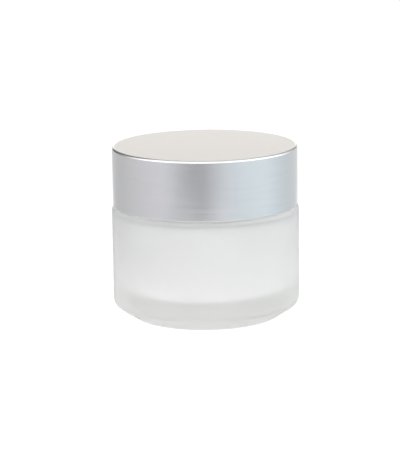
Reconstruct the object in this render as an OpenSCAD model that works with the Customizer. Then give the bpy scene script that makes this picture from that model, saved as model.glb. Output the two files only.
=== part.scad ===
// Cosmetic cream jar: a frosted glass jar with a screw cap. The cap is an aluminium
// shell over a plastic threaded insert, with a foam liner that presses a plug seal
// onto the jar's lip.
// Millimetres. The origin is the centre of the foot, on the surface that the jar
// stands on, and +Z is up. The cap unscrews anticlockwise as seen from above.

/* [Glass jar] */
// Outer diameter of the glass body
body_d = 58; // [57.6:0.1:60]
// Height of the shoulder, just under the cap
shoulder_z = 34.3; // [30:0.1:40]
// Thickness of the body's side wall
wall_t = 4.8; // [4:0.1:6]
// Thickness of the heavy floor
floor_t = 8.4; // [6:0.1:12]
// Diameter of the standing foot
foot_d = 46.3; // [44:0.1:48]
// Slope of the undercut between foot and side wall, in degrees
heel_slope = 33.6; // [20:0.2:45]
// Radius of the heel, where the undercut meets the side wall
heel_r = 2.7; // [1:0.1:4]
// Depth of the hollow under the foot
push_up = 0.8; // [0.4:0.1:1.5]

/* [Neck and mouth] */
// Outer diameter of the neck, without its thread
neck_d = 49; // [48.6:0.1:49.2]
// Diameter of the mouth
mouth_d = 42.6; // [42:0.1:43.4]
// Height of the neck above the shoulder
neck_h = 14.5; // [13.6:0.1:16]

/* [Screw thread] */
// Rise of the cap in one turn
pitch = 5; // [4.6:0.1:5.2]
// How far the thread stands out of its wall
thread_h = 1.1; // [0.9:0.05:1.2]
// Turns of thread on the neck
neck_turns = 1.3; // [1.1:0.05:1.35]
// Turns of thread in the cap
cap_turns = 1.2; // [0.9:0.05:1.25]

/* [Cap] */
// Outer diameter of the aluminium shell
cap_d = 57.3; // [57:0.1:57.5]
// Thickness of the aluminium
shell_t = 0.5; // [0.4:0.05:0.6]
// Radius of the polished rim round the top of the cap
rim_r = 0.7; // [0.5:0.05:0.8]
// Gap between the shoulder and the cap's lower edge
cap_gap = 0.2; // [0.15:0.05:0.6]
// Number of ribs that grip the inside of the shell
rib_count = 24; // [18:6:36]

/* [Hidden] */
$fn = 96;
overlap = 0.6;      // how deep a piece is sunk into the one that it is part of
arc_step = 15;      // largest turn between two straight steps of a rounded corner, in degrees
fine_step = 7.5;    // the same on the cap's shiny rim
coarse_step = 22.5; // the same where little shows: on the neck and in the cavity

// Glass body
body_r = body_d / 2;
foot_r = foot_d / 2;
cavity_r = body_r - wall_t;
neck_r = neck_d / 2;
mouth_r = mouth_d / 2;
lip_z = shoulder_z + neck_h;
shoulder_r = 1.3;   // outer rounding of the shoulder
neck_root_r = 1;    // rounding where the neck stands on the shoulder
lip_r = 0.8;        // rounding of the lip, inside and out
bearing_w = 3.2;    // width of the ring that the jar stands on
bearing_r = foot_r - bearing_w;
floor_corner_r = 5;
ceiling_r = 2.6;    // rounding where the cavity closes in under the shoulder
throat_r = 2.4;     // rounding where that ceiling turns up into the mouth
ceiling_z = shoulder_z - 3.5;

// Heel: a straight undercut, then an arc that is tangent to it and to the wall
heel_x = body_r - heel_r;
heel_tangent_x = heel_x + heel_r * sin(heel_slope);
heel_tangent_z = (heel_tangent_x - foot_r) * tan(heel_slope);
heel_z = heel_tangent_z + heel_r * cos(heel_slope);

// Thread: a ridge with sloping flanks, whose half widths are given at three depths
sunk_w = 1.49;          // inside the wall
flank_w = 0.78;         // where the flank meets the crest's rounding
crest_w = 0.35;         // on the crest
flank_share = 0.8;      // the flank's part of the thread's height
thread_step = 10;       // degrees between the ridge's sections
fade_steps = 5;         // sections over which each end of the ridge fades out
sink = 0.2;             // depth of the faded ends in the wall
thread_z = shoulder_z + 4.6;    // lower end of the neck's thread
thread_drop = 1.8;      // how far the cap's thread lies below the neck's
thread_play = 0.4;      // room between the neck's thread and the insert's wall

// Plug seal: a flange on the lip, and a shallow cup down into the mouth
flange_t = 0.8;
flange_r = neck_r - lip_r;
plug_r = mouth_r - 0.3;
plug_wall = 1;
plug_depth = 2.4;
panel_t = 0.7;
tab_w = 13;
tab_t = 1.1;
tab_h = plug_depth + flange_t - panel_t - 0.5;

// Stack above the lip
seal_top = lip_z + flange_t;
liner_t = 1.3;
liner_top = seal_top + liner_t;
insert_panel_t = 1.5;
insert_top = liner_top + insert_panel_t;
cap_top = insert_top + shell_t;

// Cap, from the outside in
cap_r = cap_d / 2;
cap_bottom = shoulder_z + cap_gap;
shell_in_r = cap_r - shell_t;
hem_w = 1.1;        // how far the shell's lower edge is turned in
hem_r = 0.3;        // rounding of that turn
corner_r = 0.5;     // inner rounding between the shell's top and its side
insert_bottom = cap_bottom + shell_t;
insert_in_r = neck_r + thread_h + thread_play;
insert_wall = 1.2;
insert_r = insert_in_r + insert_wall;
flange_h = 1;       // bottom flange that rests on the shell's hem
rib_w = 0.8;
press = 0.03;       // how much wider the ribs are than the shell
liner_pocket_r = insert_in_r - 0.4;
liner_r = liner_pocket_r - 0.2;
bead_r = 0.35;      // bead that keeps the liner in its pocket
lead_in = 0.6;      // chamfer at the insert's mouth

// Points along an arc about (x, z)
function arc(x, z, r, from, to, step = arc_step) =
    let (steps = ceil(abs(to - from) / step))
    [
        for (i = [0 : steps])
            let (a = from + (to - from) * i / steps)
            [x + r * cos(a), z + r * sin(a)]
    ];

// The hollow under the foot is part of a sphere
hollow_r = (bearing_r * bearing_r + push_up * push_up) / (2 * push_up);
hollow_half = asin(bearing_r / hollow_r);

// Half section of the glass, from the middle of the foot round to the cavity's floor
glass_outline = concat(
    arc(0, push_up - hollow_r, hollow_r, 90, 90 - hollow_half, hollow_half / 3),
    [[foot_r, 0]],
    arc(heel_x, heel_z, heel_r, heel_slope - 90, 0),
    arc(body_r - shoulder_r, shoulder_z - shoulder_r, shoulder_r, 0, 90),
    arc(neck_r + neck_root_r, shoulder_z + neck_root_r, neck_root_r, 270, 180, coarse_step),
    arc(neck_r - lip_r, lip_z - lip_r, lip_r, 0, 90, coarse_step),
    arc(mouth_r + lip_r, lip_z - lip_r, lip_r, 90, 180, coarse_step),
    throat_outline(),
    arc(cavity_r - floor_corner_r, floor_t + floor_corner_r, floor_corner_r, 0, -90, coarse_step),
    [[0, floor_t]]
);

// The throat narrows from the cavity to the mouth in two arcs joined by a straight line
function throat_outline() =
    let (
        turn = 65,
        low_x = cavity_r - ceiling_r,
        high_x = mouth_r + throat_r,
        run = low_x + ceiling_r * cos(turn) - high_x + throat_r * cos(turn),
        high_z = ceiling_z + (ceiling_r + throat_r) * sin(turn) + run / tan(turn)
    )
    concat(
        arc(high_x, high_z, throat_r, 180, 180 + turn, coarse_step),
        arc(low_x, ceiling_z, ceiling_r, turn, 0, coarse_step)
    );

// A helical ridge that rises anticlockwise. It grows out of the wall at radius r, and its
// ends sink back into the wall. dir is 1 outwards and -1 inwards.
module helical_ridge(r, dir, z, turns) {
    steps = round(turns * 360 / thread_step);
    function growth(i) = min(1, i / fade_steps, (steps - i) / fade_steps);
    function section(g) = let (crest = thread_h * g - sink * (1 - g)) [
        [-overlap, -sunk_w],
        [crest * flank_share, -flank_w],
        [crest, -crest_w],
        [crest, crest_w],
        [crest * flank_share, flank_w],
        [-overlap, sunk_w]
    ];
    m = len(section(1));
    points = [
        for (i = [0 : steps], p = section(growth(i)))
            let (a = i * thread_step, q = r + dir * p[0])
            [q * cos(a), q * sin(a), z + pitch * a / 360 + p[1]]
    ];
    sides = [
        for (i = [0 : steps - 1], j = [0 : m - 1])
            let (k = (j + 1) % m)
            each [
                [i * m + j, i * m + k, (i + 1) * m + k],
                [i * m + j, (i + 1) * m + k, (i + 1) * m + j]
            ]
    ];
    first = [for (j = [m - 1 : -1 : 0]) j];
    last = [for (j = [0 : m - 1]) steps * m + j];
    faces = concat(sides, [first, last]);
    polyhedron(points, dir > 0 ? faces : [for (f = faces) [for (j = [len(f) - 1 : -1 : 0]) f[j]]]);
}

// The frosted glass jar, with its thread and its heavy floor
module glass_jar() {
    color([0.87, 0.9, 0.88, 0.75]) union() {
        rotate_extrude() polygon(glass_outline);
        helical_ridge(neck_r, 1, thread_z, neck_turns);
    }
}

// The soft plug that closes the mouth, with a tab to lift it by
module plug_seal() {
    plug_bottom = lip_z - plug_depth;
    round_r = 0.35;
    color([0.95, 0.95, 0.93]) union() {
        rotate_extrude() polygon(concat(
            [[0, plug_bottom], [plug_r - 1.2, plug_bottom]],
            arc(plug_r - 0.8, plug_bottom + 0.8, 0.8, -90, 0),
            [[plug_r, lip_z], [flange_r, lip_z]],
            arc(flange_r - round_r, seal_top - round_r, round_r, 0, 90),
            [
                [plug_r - plug_wall, seal_top],
                [plug_r - plug_wall, plug_bottom + panel_t],
                [0, plug_bottom + panel_t]
            ]
        ));
        lift_tab(plug_bottom + panel_t);
    }
}

// An upright tab with round shoulders
module lift_tab(z) {
    corner = 1.2;
    translate([0, tab_t / 2, z - overlap / 2])
        rotate([90, 0, 0])
            linear_extrude(tab_t)
                polygon(concat(
                    [[-tab_w / 2, 0], [tab_w / 2, 0]],
                    arc(tab_w / 2 - corner, tab_h + overlap / 2 - corner, corner, 0, 90),
                    arc(corner - tab_w / 2, tab_h + overlap / 2 - corner, corner, 90, 180)
                ));
}

// The foam disc that presses on the seal
module foam_liner() {
    color([0.97, 0.97, 0.96])
        translate([0, 0, seal_top]) cylinder(r = liner_r, h = liner_t);
}

// Half section of the insert, without its ribs and thread
insert_outline = concat(
    [
        [0, liner_top],
        [liner_pocket_r, liner_top],
        [liner_pocket_r, seal_top]
    ],
    arc(liner_pocket_r, seal_top - bead_r, bead_r, 90, 270),
    [
        [insert_in_r, seal_top - 3 * bead_r],
        [insert_in_r, insert_bottom + lead_in],
        [insert_in_r + lead_in, insert_bottom],
        [shell_in_r - 0.05, insert_bottom],
        [shell_in_r - 0.05, insert_bottom + flange_h],
        [insert_r, insert_bottom + flange_h],
        [insert_r, insert_top - 2]
    ],
    [
        [shell_in_r - 0.6, insert_top - 0.6],
        [shell_in_r - 0.9, insert_top],
        [0, insert_top]
    ]
);

// The plastic cap inside the shell, which carries the thread
module threaded_insert() {
    color([0.93, 0.94, 0.95]) union() {
        rotate_extrude() polygon(insert_outline);
        helical_ridge(insert_in_r, -1, thread_z - thread_drop, cap_turns);
        for (i = [0 : rib_count - 1]) rotate(i * 360 / rib_count) rib();
    }
}

// One upright rib on the outside of the insert, with its face curved to fit the shell
module rib() {
    bottom = insert_bottom + flange_h - overlap;
    top = insert_top - 1.4;
    intersection() {
        translate([insert_r - overlap, -rib_w / 2, bottom])
            cube([shell_in_r - insert_r + 2 * overlap, rib_w, top - bottom]);
        cylinder(r = shell_in_r + press, h = cap_top);
    }
}

// The aluminium shell: one drawn sheet with a rounded rim and a turned-in lower edge
module aluminium_shell() {
    hem_in = cap_r - shell_t - hem_w;
    color([0.78, 0.79, 0.82])
        rotate_extrude() polygon(concat(
            [[0, cap_top]],
            arc(cap_r - rim_r, cap_top - rim_r, rim_r, 90, 0, fine_step),
            arc(cap_r - hem_r, cap_bottom + hem_r, hem_r, 0, -90),
            arc(hem_in + shell_t / 2, cap_bottom + shell_t / 2, shell_t / 2, 270, 90),
            [[shell_in_r, insert_bottom]],
            arc(shell_in_r - corner_r, insert_top - corner_r, corner_r, 0, 90),
            [[0, insert_top]]
        ));
}

glass_jar();
plug_seal();
foam_liner();
threaded_insert();
aluminium_shell();
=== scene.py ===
import math

import bpy
from mathutils import Matrix, Vector


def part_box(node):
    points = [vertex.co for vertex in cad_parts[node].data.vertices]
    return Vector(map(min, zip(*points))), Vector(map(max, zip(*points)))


# All the jar's shapes are the CAD's own. This gives them their materials, and makes the floor,
# the light and the camera. Lengths are in metres, and z is up.
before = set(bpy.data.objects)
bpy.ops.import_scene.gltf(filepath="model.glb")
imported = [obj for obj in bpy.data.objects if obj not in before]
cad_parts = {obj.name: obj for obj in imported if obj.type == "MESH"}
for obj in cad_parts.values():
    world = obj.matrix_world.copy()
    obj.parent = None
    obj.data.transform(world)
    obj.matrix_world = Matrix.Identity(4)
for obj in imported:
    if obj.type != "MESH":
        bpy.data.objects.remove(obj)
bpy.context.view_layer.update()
MM = 0.001

# Driving sizes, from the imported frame
BODY_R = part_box("glass_jar")[1].x
CAP_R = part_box("aluminium_shell")[1].x
CAP_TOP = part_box("aluminium_shell")[1].z
SEAL_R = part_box("plug_seal")[1].x
SEAL_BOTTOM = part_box("plug_seal")[0].z
RIM_R = 0.7 * MM  # the rounding round the cap's top


# ---------------------------------------------------------------- node trees


class Nodes:
    """A node tree under construction."""

    def __init__(self, tree):
        self.tree = tree

    def node(self, kind, inputs=None, **values):
        made = self.tree.nodes.new(kind)
        for name, value in values.items():
            setattr(made, name, value)
        for socket, value in (inputs or {}).items():
            self.put(value, made.inputs[socket])
        return made

    def put(self, value, socket):
        """A number or colour is set on the socket, and another node's output is linked to it."""
        if isinstance(value, bpy.types.NodeSocket):
            self.tree.links.new(value, socket)
        else:
            socket.default_value = value

    def math(self, operation, a, b=0.0):
        return self.node("ShaderNodeMath", {0: a, 1: b}, operation=operation).outputs[0]

    def every(self, first, *others):
        """1 where every mask is 1."""
        for other in others:
            first = self.math("MULTIPLY", first, other)
        return first

    def ramp(self, value, start, end, low=0.0, high=1.0):
        """A number that goes smoothly from low to high as value goes from start to end."""
        inputs = {"Value": value, "From Min": start, "From Max": end, "To Min": low, "To Max": high}
        return self.node("ShaderNodeMapRange", inputs, interpolation_type="SMOOTHSTEP").outputs["Result"]

    def mix(self, factor, a, b):
        """The colour a where factor is 0, and b where it is 1."""
        made = self.node("ShaderNodeMix", data_type="RGBA")
        for name, value in (("Factor_Float", factor), ("A_Color", a), ("B_Color", b)):
            self.put(value, next(s for s in made.inputs if s.identifier == name))
        return next(s for s in made.outputs if s.identifier == "Result_Color")

    def stops(self, value, colours):
        """A colour looked up from {position: colour}, with positions from 0 to 1."""
        made = self.node("ShaderNodeValToRGB", {"Fac": value})
        elements = made.color_ramp.elements
        while len(elements) < len(colours):
            elements.new(0.5)
        for element, (position, colour) in zip(elements, sorted(colours.items())):
            element.position = position
            element.color = (*colour, 1)
        return made.outputs["Color"]

    def axes(self, vector):
        """The x, y and z of a vector."""
        return self.node("ShaderNodeSeparateXYZ", {0: vector}).outputs

    def length(self, a, b):
        return self.math("SQRT", self.math("ADD", self.math("MULTIPLY", a, a), self.math("MULTIPLY", b, b)))


class Material(Nodes):
    """A material with one Principled shader. Its masks work in the row frame."""

    def __init__(self, name, **values):
        self.data = bpy.data.materials.new(name)
        self.data.use_nodes = True
        super().__init__(self.data.node_tree)
        self.shader = self.tree.nodes["Principled BSDF"]
        for socket, value in values.items():
            self.set(socket.replace("_", " "), value)
        self.place = self.node("ShaderNodeTexCoord").outputs["Object"]
        self.x, self.y, self.z = self.axes(self.place)

    def set(self, socket, value):
        self.put(value, self.shader.inputs[socket])

    def noise(self, size, place=None):
        """Noise from about 0.3 to 0.7, with features about size metres across."""
        inputs = {"Vector": place or self.place, "Scale": 1 / size, "Detail": 3.0}
        return self.node("ShaderNodeTexNoise", inputs).outputs["Fac"]

    def turned(self, size):
        """Noise in fine lines round the jar's axis, as turning leaves them."""
        around = self.math("MULTIPLY", self.math("ARCTAN2", self.y, self.x), 2 * size)
        inputs = {0: self.length(self.x, self.y), 1: around, 2: self.z}
        return self.noise(size, self.node("ShaderNodeCombineXYZ", inputs).outputs[0])

    def colours(self, factor, low, high):
        """A base colour that goes from low to high as factor goes from 0.3 to 0.7."""
        self.set("Base Color", self.mix(self.ramp(factor, 0.3, 0.7), (*low, 1), (*high, 1)))

    def bump(self, height, depth):
        """Relief of about depth metres at height 1."""
        made = self.node("ShaderNodeBump", {"Height": height, "Strength": 1.0, "Distance": depth})
        self.set("Normal", made.outputs["Normal"])


# ---------------------------------------------------------------- materials


def frosted_glass():
    """Greenish glass, acid-frosted outside, with a thin white lining in the cavity."""
    m = Material("frosted_glass", IOR=1.52)
    grain = m.noise(0.25 * MM)
    m.colours(m.noise(9 * MM), (0.98, 0.98, 0.98), (1.0, 1.0, 1.0))
    just_past_cavity_wall = SEAL_R + 0.65 * MM
    inside_floor = 4 * MM
    lining = m.every(
        m.math("LESS_THAN", m.length(m.x, m.y), just_past_cavity_wall),
        m.math("GREATER_THAN", m.z, inside_floor),
        m.math("LESS_THAN", m.z, SEAL_BOTTOM),
    )
    m.set("Transmission Weight", m.ramp(lining, 0, 1, 0.8, 0.12))
    frosting = m.ramp(grain, 0.3, 0.7, 0.46, 0.54)
    m.set("Roughness", m.math("SUBTRACT", frosting, m.math("MULTIPLY", lining, 0.2)))
    m.bump(grain, 0.004 * MM)
    tint = {"Color": (0.77, 0.787, 0.76, 1), "Density": 20.0}
    absorption = m.node("ShaderNodeVolumeAbsorption", tint)
    m.put(absorption.outputs[0], m.tree.nodes["Material Output"].inputs["Volume"])
    return m.data


def satin_aluminium():
    """Fine turned grain all over, and a polished rim."""
    m = Material("satin_aluminium", Metallic=1.0)
    grain = m.turned(0.1 * MM)
    m.colours(m.turned(0.5 * MM), (0.79, 0.79, 0.8), (0.81, 0.81, 0.82))
    soft_edge = 0.1 * MM
    rim = m.every(
        m.ramp(m.length(m.x, m.y), CAP_R - RIM_R - soft_edge, CAP_R - RIM_R),
        m.ramp(m.z, CAP_TOP - RIM_R, CAP_TOP - RIM_R + soft_edge),
    )
    satin = m.ramp(grain, 0.3, 0.7, 0.23, 0.27)
    m.set("Roughness", m.math("SUBTRACT", satin, m.math("MULTIPLY", rim, 0.17)))
    m.bump(grain, 0.0002 * MM)
    return m.data


def moulded_plastic(name, low, high, roughness, texture):
    """White plastic with a fine moulded texture and faint flow marks."""
    m = Material(name, IOR=1.49)
    m.colours(m.noise(7 * MM), low, high)
    grain = m.noise(texture)
    m.set("Roughness", m.ramp(grain, 0.3, 0.7, roughness - 0.04, roughness + 0.04))
    m.bump(grain, 0.004 * MM)
    return m.data


def closed_cell_foam():
    """Cells of about a quarter of a millimetre, each a shallow dimple between raised walls."""
    m = Material("closed_cell_foam", Roughness=0.75, Sheen_Weight=0.1)
    inputs = {"Vector": m.place, "Scale": 1 / (0.25 * MM)}
    cells = m.node("ShaderNodeTexVoronoi", inputs).outputs["Distance"]
    # The colour is darker in each dimple than on its raised walls: painted shade in the dimples.
    m.colours(cells, (0.87, 0.87, 0.855), (0.93, 0.93, 0.92))
    m.bump(cells, 0.05 * MM)
    return m.data


def insert_plastic():
    return moulded_plastic("insert_plastic", (0.83, 0.84, 0.85), (0.88, 0.89, 0.9), 0.4, 0.3 * MM)


def seal_plastic():
    return moulded_plastic("seal_plastic", (0.88, 0.88, 0.86), (0.93, 0.93, 0.91), 0.3, 0.5 * MM)


FINISHES = {
    "glass_jar": frosted_glass(),
    "aluminium_shell": satin_aluminium(),
    "threaded_insert": insert_plastic(),
    "plug_seal": seal_plastic(),
    "foam_liner": closed_cell_foam(),
}
for name, finish in FINISHES.items():
    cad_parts[name].data.materials.clear()
    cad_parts[name].data.materials.append(finish)


# ---------------------------------------------------------------- studio

# Brightness of the floor outside the white sheet, by degrees from the camera's side, positive to
# the right. The cap's side mirrors it, with a dark stretch straight in front.
LOW_LIGHT = {
    -180: 0.85,
    -160: 0.65,
    -130: 0.5,
    -90: 0.55,
    -50: 0.57,
    -40: 0.5,
    -20: 0.25,
    -5: 0.17,
    10: 0.35,
    25: 0.55,
    45: 0.68,
    75: 0.75,
    100: 0.64,
    120: 0.6,
    150: 0.67,
    180: 0.85,
}

# Its tint, in the same directions: cool on the right, and nearly neutral elsewhere
LOW_TINT = {
    -150: (1.0, 1.0, 1.0),
    -50: (1.0, 1.0, 1.06),
    10: (0.95, 1.0, 1.1),
    45: (0.87, 1.0, 1.05),
    100: (0.88, 1.0, 1.06),
    150: (1.0, 1.0, 1.0),
}

# Brightness of the walls, in the same directions: bright in front, dark behind
WALL_LIGHT = {
    -180: 0.26,
    -140: 0.2,
    -126: 0.36,
    -114: 0.6,
    -102: 1.0,
    -80: 1.62,
    105: 1.62,
    120: 1.1,
    135: 0.7,
    155: 0.5,
    180: 0.26,
}
CEILING_LIGHT = 1.05

# The backdrop's light, in its middle and beside it
WARM_WHITE = (1.43, 1.375, 1.29, 1)
WARM_GREY = (0.87, 0.85, 0.82, 1)

# The white sheet that the camera sees under and behind the jar
SHEET_LIGHT = (1.02, 1.02, 1.02, 1)
SHEET_HALF_WIDTH = 0.064
SHEET_WIDENING = 0.1
SHEET_FRONT = -0.138
SHEET_SOFT_EDGE = 0.015
FLOOR_HALF = 2.5


def add_camera():
    """A long lens from just above the jar, tilted a little, as the photograph is."""
    distance = 21.457 * BODY_R
    elevation = math.radians(12.282)
    roll = math.radians(-0.793)
    aim = Vector((-0.06, 0, 0.95)) * BODY_R
    back = Vector((0, -math.cos(elevation), math.sin(elevation)))
    right = Vector((1, 0, 0))
    up = back.cross(right)
    tilted_right = math.cos(roll) * right + math.sin(roll) * up
    tilted_up = math.cos(roll) * up - math.sin(roll) * right
    camera = bpy.data.objects.new("camera", bpy.data.cameras.new("camera"))
    camera.data.sensor_width = 36
    camera.data.lens = 160
    axes = Matrix((tilted_right, tilted_up, back)).transposed().to_4x4()
    camera.matrix_world = Matrix.Translation(aim + back * distance) @ axes
    camera.data.clip_start = 0.01
    camera.data.clip_end = 20
    bpy.context.scene.collection.objects.link(camera)
    bpy.context.scene.camera = camera


def from_all_round(nodes, x, y, lights):
    """The light in the direction (x, y), from {degrees: colour or brightness}."""
    turn = nodes.math("ARCTAN2", x, nodes.math("MULTIPLY", y, -1))
    part = nodes.math("ADD", nodes.math("DIVIDE", turn, 2 * math.pi), 0.5)
    colours = {angle: light if isinstance(light, tuple) else (light,) * 3 for angle, light in lights.items()}
    return nodes.stops(part, {(angle + 180) / 360: colour for angle, colour in colours.items()})


def add_floor():
    """A pale floor. The sheet on it that the camera sees is lit from below, so that no shadow falls."""
    mesh = bpy.data.meshes.new("floor")
    corners = [(x * FLOOR_HALF, y * FLOOR_HALF, 0) for x, y in ((-1, -1), (1, -1), (1, 1), (-1, 1))]
    mesh.from_pydata(corners, [], [(0, 1, 2, 3)])
    floor = bpy.data.objects.new("floor", mesh)
    m = Material("white_sheet", Roughness=0.9, Emission_Strength=1.0)
    m.colours(m.noise(2 * MM), (0.02, 0.02, 0.02), (0.03, 0.03, 0.03))
    half_width = m.math("ADD", m.math("MULTIPLY", m.y, SHEET_WIDENING), SHEET_HALF_WIDTH)
    beside = m.math("SUBTRACT", m.math("ABSOLUTE", m.x), half_width)
    before = m.math("SUBTRACT", SHEET_FRONT, m.y)
    outside = m.ramp(m.math("MAXIMUM", beside, before), 0, SHEET_SOFT_EDGE)
    brightness = from_all_round(m, m.x, m.y, LOW_LIGHT)
    tint = from_all_round(m, m.x, m.y, LOW_TINT)
    low_light = m.node("ShaderNodeVectorMath", {0: brightness, 1: tint}, operation="MULTIPLY")
    m.set("Emission Color", m.mix(outside, SHEET_LIGHT, low_light.outputs[0]))
    mesh.materials.append(m.data)
    bpy.context.scene.collection.objects.link(floor)


def add_sky():
    """Bright walls in front and to the sides, dark ones behind, a low warm backdrop and an even ceiling."""
    world = bpy.data.worlds.new("studio")
    world.use_nodes = True
    sky = Nodes(world.node_tree)
    x, y, z = sky.axes(sky.node("ShaderNodeTexCoord").outputs["Generated"])
    walls = from_all_round(sky, x, y, WALL_LIGHT)
    ceiling = sky.ramp(z, 0.76, 0.88)
    light = sky.mix(ceiling, walls, (CEILING_LIGHT, CEILING_LIGHT, CEILING_LIGHT, 1))
    beside = sky.ramp(sky.math("ABSOLUTE", x), 0.08, 0.17)
    backdrop = sky.every(sky.ramp(y, 0.93, 0.96), sky.ramp(z, 0.33, 0.13))
    light = sky.mix(backdrop, light, sky.mix(beside, WARM_WHITE, WARM_GREY))
    sky.put(light, world.node_tree.nodes["Background"].inputs["Color"])
    bpy.context.scene.world = world


add_camera()
add_floor()
add_sky()
bpy.context.scene.view_settings.view_transform = "Standard"
